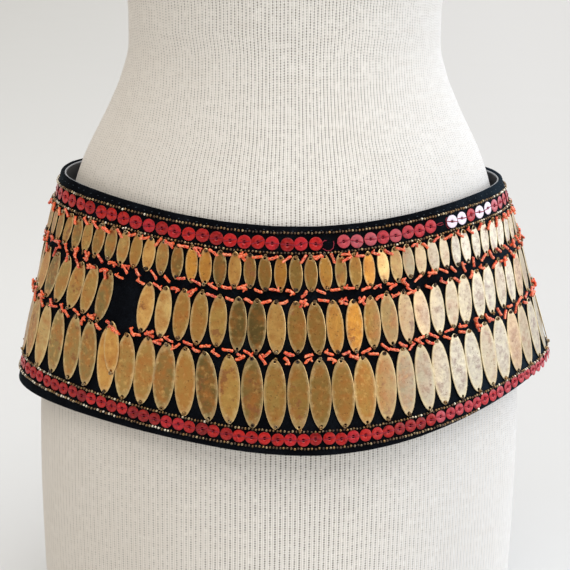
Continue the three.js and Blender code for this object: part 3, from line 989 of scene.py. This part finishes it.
coral = new_material(
    "branch_coral", Subsurface_Weight=0.12, Subsurface_Scale=0.0006, Coat_Weight=0.35,
    Coat_Roughness=0.25, Subsurface_Radius=(1.0, 0.3, 0.2),
)
grain = noise_at(coral, 650.0, 4.0, 0.65)
pitted = noise_at(coral, 480.0, 2.0)
base = ramp(
    painted(coral, "shade"),
    (0.0, tint(208, 54, 18)), (0.35, tint(240, 88, 26)), (0.7, tint(234, 76, 32)),
    (1.0, tint(198, 44, 20)))
# Paler patches along the grain: partly the coral's own paler streaks, partly painted highlights.
pale_grain_and_highlights = ramp(grain, (0.46, (0, 0, 0, 1)), (0.64, (1, 1, 1, 1)))
coral_colour = mixed(pale_grain_and_highlights, base, tint(255, 162, 116))
# Painted shade: the pits and the drilled hole are painted dark, as the shade inside them.
pits = scaled(pitted, -9.0, 3.3, clamp=True)
drilled = scaled(painted(coral, "drilled"), 5.0, -2.0, clamp=True)
pits = maths("MAXIMUM", pits, drilled)
coral_colour = mixed(pits, coral_colour, tint(84, 14, 12), 0.8)
coral_roughness, coral_relief = scaled(grain, 0.2, 0.25), bump(grain, 0.0006, 0.7)
set_shader(coral, Base_Color=coral_colour, Roughness=coral_roughness, Normal=coral_relief)
coral_pieces.data.materials.append(coral)


# ---------------------------------------------------------------------------------------- sequins
# One row of flat round coral-red sequins along each edge. Each is held by a dark red thread that
# comes up in the middle and goes down at both sides. Those at the right are painted paler with the
# window's glare, four of the upper row nearly white with it, and that row has lost two.

SEQUIN_ROWS = [  # name, height on the panel, radius, pitch
    ("sequins_top", 118.5, 4.5, 9.24),
    ("sequins_hem", -8.4, 4.2, 8.4),
]
FIRST_LOST, SECOND_LOST = 17.0, 100.2
GLARED = (10, 11, 13, 14)
GLARE_FROM = 1.2  # the shade number above which a sequin is mixed towards a painted glare
SEQUIN_SIDES = 24
HEM_MARGIN, MOST_HEM_RISE = 1.0, 2.0


def hem_rise(angle):
    """How far the row above the hem climbs where the hem itself climbs, at the right."""
    _, level, radius, _ = SEQUIN_ROWS[1]
    return min(max(hem_edge(angle) + HEM_MARGIN + radius - level, 0.0), MOST_HEM_RISE)


def sequin(radius):
    """One disc lying on its back: a fine raised rim, a faint dish, and a small hole."""
    outline = [(1.0, 0.0), (1.0, 0.22), (0.5 * radius, 0.3), (0.93 * radius, 0.36), (radius, 0.2)]
    bm = spun(outline, (0, 0, 1), SEQUIN_SIDES)
    rim = bm.verts.layers.float.new("rim")
    for corner in bm.verts:
        corner[rim] = 1.0 if corner.co.xy.length > 0.97 * radius * mm else 0.0
    return mesh_from(bm, "sequin")


def holding_thread(radius):
    """The two stitches over one sequin, from its hole to either side."""
    bm = bmesh.new()
    for side in (-1, 1):
        points = [
            Vector((side * across, 0, height)) * mm
            for across, height in ((0.1, 0.1), (0.8, 0.5), (radius * 0.6, 0.55), (radius + 0.3, 0.1))
        ]
        along_path(bm, points, [0.3 * mm] * 4, 4)
    bmesh.ops.recalc_face_normals(bm, faces=bm.faces)
    return mesh_from(bm, "holding_thread")


sequin_red = new_material(
    "coral_red_sequin", Coat_Weight=0.25, Coat_Roughness=0.12, Specular_IOR_Level=0.25)
own_shade = painted(sequin_red, "shade")
mottle = noise_at(sequin_red, 380.0, 4.0, 0.65)
base = ramp(
    own_shade,
    (0.0, tint(120, 4, 8)), (0.4, tint(160, 8, 9)), (0.75, tint(182, 15, 10)),
    (1.0, tint(176, 16, 34)))
paler = ramp(mottle, (0.48, (0, 0, 0, 1)), (0.8, (0.6, 0.6, 0.6, 1)))
sequin_colour = mixed(paler, base, tint(208, 50, 44))
darker = ramp(mottle, (0.3, (0.85, 0.85, 0.85, 1)), (0.46, (0, 0, 0, 1)))
sequin_colour = mixed(darker, sequin_colour, tint(84, 2, 6))
# Painted highlight along each sequin's raised rim.
sequin_colour = mixed(painted(sequin_red, "rim"), sequin_colour, tint(216, 92, 86), 0.4)
# Painted glare: sequins whose shade number is over the threshold are mixed towards a pale lavender white,
# standing in for the window's reflection.
painted_glare = scaled(own_shade, 10.0, -10.0 * GLARE_FROM, clamp=True)
sequin_colour = mixed(painted_glare, sequin_colour, tint(240, 226, 244))
sequin_roughness, sequin_relief = scaled(mottle, 0.25, 0.22), bump(mottle, 0.0002, 0.35)
set_shader(sequin_red, Base_Color=sequin_colour, Roughness=sequin_roughness, Normal=sequin_relief)

red_thread = new_material("dark_red_thread", Roughness=0.7)
ply = noise_at(red_thread, 3000.0, 1.0)
red = mixed(ply, tint(104, 4, 22), tint(172, 18, 54))
set_shader(red_thread, Base_Color=red, Normal=bump(ply, 0.0001, 0.6))

chance = random.Random(41)
for name, up, radius, pitch in SEQUIN_ROWS:
    disc, stitches = sequin(radius), holding_thread(radius)
    start, end = length_at(DECOR_START, up), length_at(DECOR_END, up)
    disc_copies, stitch_copies = [], []
    for step in range(-70, 70):
        along = FIRST_LOST + pitch * step
        lost = name == "sequins_top" and min(abs(along - FIRST_LOST), abs(along - SECOND_LOST)) < 2
        if lost or not start + radius < along < end - radius:
            continue
        angle = angle_at(along + chance.uniform(-0.45, 0.45), up)
        level = up + hem_rise(angle) if name == "sequins_hem" else up
        place = panel_frame(angle, level + chance.uniform(-0.5, 0.5), 0.35)
        place = place @ turned(chance, 14, 4.0, 2.6)
        own_shade = chance.random()
        # Painted glare: the upper row right of its first gap and the hem row far to the right are given a
        # shade over the threshold.
        if name == "sequins_top" and step > 0:
            own_shade = GLARE_FROM + (0.1 if step in GLARED else chance.uniform(0, 0.01))
        elif name == "sequins_hem" and math.sin(angle) > 0.5:
            own_shade = GLARE_FROM + chance.uniform(0, 0.008)
        disc_copies.append((disc, place, own_shade))
        stitch_copies.append((stitches, place, chance.random()))
    discs = joined_copies(name, disc_copies)
    discs.data.materials.append(sequin_red)
    threads = joined_copies(name + "_stitches", stitch_copies)
    threads.data.materials.append(red_thread)

# Where two sequins of the upper row are gone, their threads still stand out in loose loops.
LOOSE_ENDS = [  # from the middle of the lost sequin: along, up, out
    [(-5.6, -0.4, 0.6), (-4.6, 1.0, 1.6), (-3.4, 1.9, 1.8), (-2.2, 1.7, 0.9)],
    [
        (-4.8, -3.2, 0.6), (-2.6, -4.8, 1.4), (-0.2, -5.0, 1.9),
        (1.9, -3.2, 1.8), (2.7, -0.4, 1.2), (2.5, 1.2, 0.6),
    ],
]
SECOND_LOOP = [
    (-5.4, 0.4, 0.6), (-3.2, 1.2, 1.7), (-0.6, 1.2, 2.2),
    (0.3, 0.0, 2.0), (-1.6, -0.5, 1.6), (-4.0, 0.2, 0.8),
]
EDGE_LOOP = [(5.2, 3.4, 0.5), (3.4, 2.6, 1.2), (3.0, -0.4, 1.5), (4.2, -3.2, 0.9), (6.0, -4.2, 0.4)]
level = SEQUIN_ROWS[0][1]
bm = bmesh.new()
for lost_at, loops in ((FIRST_LOST, LOOSE_ENDS), (SECOND_LOST, [SECOND_LOOP, EDGE_LOOP])):
    for loop in loops:
        points = [
            panel_point(angle_at(lost_at + along, level), level + up, out) for along, up, out in loop
        ]
        along_path(bm, points, [0.27 * mm] * len(points), 5)
bmesh.ops.recalc_face_normals(bm, faces=bm.faces)
loose_threads = finished(bm, "loose_threads")
loose_threads.data.materials.append(red_thread)


# --------------------------------------------------------------------------------- seed bead lines
# Four lines of smaller beads of the same glass, one on either side of each row of sequins. They are
# couched along a thread, so each lies on its side, and they are not quite evenly spaced. The lowest
# line climbs with the hem at the right and stops where the sequins reach it.

BEAD_LINES = [-3.1, -14.1, 112.4, None]  # heights on the panel, and one that follows its upper edge
TOP_LINE_LEVEL, TOP_LINE_DROP, TOP_LINE_SAG = 125.0, 4.4, 3.2
HEM_CLEARANCE, SEQUIN_CLEARANCE = 1.9, 0.5
LINE_RADIUS, LINE_LENGTH, LINE_HOLE = 0.95, 1.45, 0.55
BEAD_PITCH = 2.3

chance = random.Random(67)
line_bead = seed_bead(LINE_RADIUS, LINE_LENGTH, LINE_HOLE)
line_copies = []
_, hem_row, hem_radius, _ = SEQUIN_ROWS[1]
for line in BEAD_LINES:
    level = TOP_LINE_LEVEL if line is None else line
    travelled, end = length_at(DECOR_START, level), length_at(DECOR_END, level)
    while travelled < end:
        angle = angle_at(travelled, level)
        up = line
        if line is None:
            up = top_edge(angle) - TOP_LINE_DROP - TOP_LINE_SAG * math.sin(angle) ** 2
        elif line < 0:
            up = max(line + 0.4 * hem_rise(angle), hem_edge(angle) + HEM_CLEARANCE)
        place = panel_frame(angle, up + chance.uniform(-0.3, 0.3), 1.05)
        fat = chance.uniform(0.86, 1.1)
        askew = turned(chance, 16, 10, 0)
        place = place @ askew @ Matrix.Diagonal((chance.uniform(0.85, 1.15), fat, fat, 1))
        sequins_foot = hem_row - hem_radius + hem_rise(angle)
        crowded = line == BEAD_LINES[1] and up > sequins_foot - SEQUIN_CLEARANCE
        if not crowded:
            # Painted glints: beads further round towards either side are given lighter shades, standing in
            # for the light they catch there.
            own_shade = min(0.85 * chance.random() + 0.35 * abs(math.sin(angle)), 1.0)
            line_copies.append((line_bead, place, own_shade))
        travelled += BEAD_PITCH * chance.choice([0.9, 0.96, 1.0, 1.0, 1.04, 1.12])
bead_lines = joined_copies("seed_bead_lines", line_copies)
bead_lines.data.materials.append(gold_bead)


# ------------------------------------------------------------------------------------ studio floor
# A pale floor far wider than the view, with painted shade that darkens it further back, most of
# all to the left. A large window stands on the right, a weak warm lamp on the left, and soft light
# falls from the ceiling.

FLOOR_RADIUS = 30.0

bm = bmesh.new()
bmesh.ops.create_circle(bm, cap_ends=True, segments=96, radius=FLOOR_RADIUS)
floor = bpy.data.objects.new("floor", mesh_from(bm, "floor"))
bpy.context.collection.objects.link(floor)
paper = new_material("pale_paper", Roughness=0.9)
fibre = noise_at(paper, 4.0, 3.0)
# Painted shade: the floor is darker further back from the form, most of all to the left.
behind = maths("MAXIMUM", one_axis(on_piece(paper), "Y"), 0.0)
aside = one_axis(on_piece(paper), "X")
aside = maths("DIVIDE", aside, maths("ADD", behind, 1.2))
aside = scaled(aside, 2.2, 0.4, clamp=True)
near = maths("DIVIDE", 1.5, maths("ADD", behind, 2.0), clamp=True)
left_paper = mixed(near, tint(160, 158, 152), tint(228, 229, 230))
right_paper = mixed(near, tint(190, 189, 188), tint(210, 211, 212))
paper_colour = mixed(aside, left_paper, right_paper)
paper_colour = mixed(fibre, paper_colour, tint(190, 189, 186), 0.2)
set_shader(paper, Base_Color=paper_colour)
floor.data.materials.append(paper)


def soft_sun(name, azimuth, elevation, width, strength, colour):
    """Even light from one side of the sky: azimuth 0 is the front and 90 the right, in degrees."""
    data = bpy.data.lights.new(name, "SUN")
    data.energy = strength
    data.angle = math.radians(width)
    data.color = colour
    lamp = bpy.data.objects.new(name, data)
    bpy.context.collection.objects.link(lamp)
    a, e = math.radians(azimuth), math.radians(elevation)
    source = Vector((math.sin(a) * math.cos(e), -math.cos(a) * math.cos(e), math.sin(e)))
    lamp.rotation_euler = source.to_track_quat("Z", "Y").to_euler()


soft_sun("window", 98, 12, 60, 1.5, (0.90, 0.97, 1.08))
soft_sun("lamp", -75, 15, 90, 0.16, (1.0, 0.76, 0.46))
soft_sun("ceiling", 15, 68, 56, 1.75, (1.0, 0.99, 0.97))

# The room: warm and dimmer on the left, darkest in front, where no lamp stands, and brightest at
# the right of the front, where a second window is. Low down it is as pale as the floor, so that
# the floor's far edge doesn't show.
world = bpy.data.worlds.new("room")
world.use_nodes = True
toward = add_node("TexCoord", material=world).outputs["Generated"]
side = scaled(one_axis(toward, "X"), 0.5, 0.5)
walls = ramp(side, (0.0, (0.34, 0.28, 0.20, 1)), (0.5, (1.06, 1.05, 1.03, 1)), (1.0, (0.72, 0.76, 0.82, 1)))
ahead = add_node("VectorMath", {0: toward, 1: (0.1, -0.97, 0.2)}, operation="DOT_PRODUCT")
dark = scaled(ahead.outputs["Value"], 3.0, -1.75, clamp=True)
room = mixed(dark, walls, (0.26, 0.26, 0.25, 1))
skirting = scaled(one_axis(toward, "Z"), -20.0, 2.2, clamp=True)
room = mixed(skirting, room, (0.83, 0.83, 0.82, 1))
pane = add_node("VectorMath", {0: toward, 1: (0.77, -0.60, 0.2)}, operation="DOT_PRODUCT")
lit = scaled(pane.outputs["Value"], 9.0, -8.0, clamp=True)
room = mixed(lit, room, (2.0, 1.98, 1.92, 1))
world.node_tree.links.new(room, world.node_tree.nodes["Background"].inputs["Color"])
world.node_tree.nodes["Background"].inputs["Strength"].default_value = 1.0
bpy.context.scene.world = world
bpy.context.scene.view_settings.view_transform = "Standard"
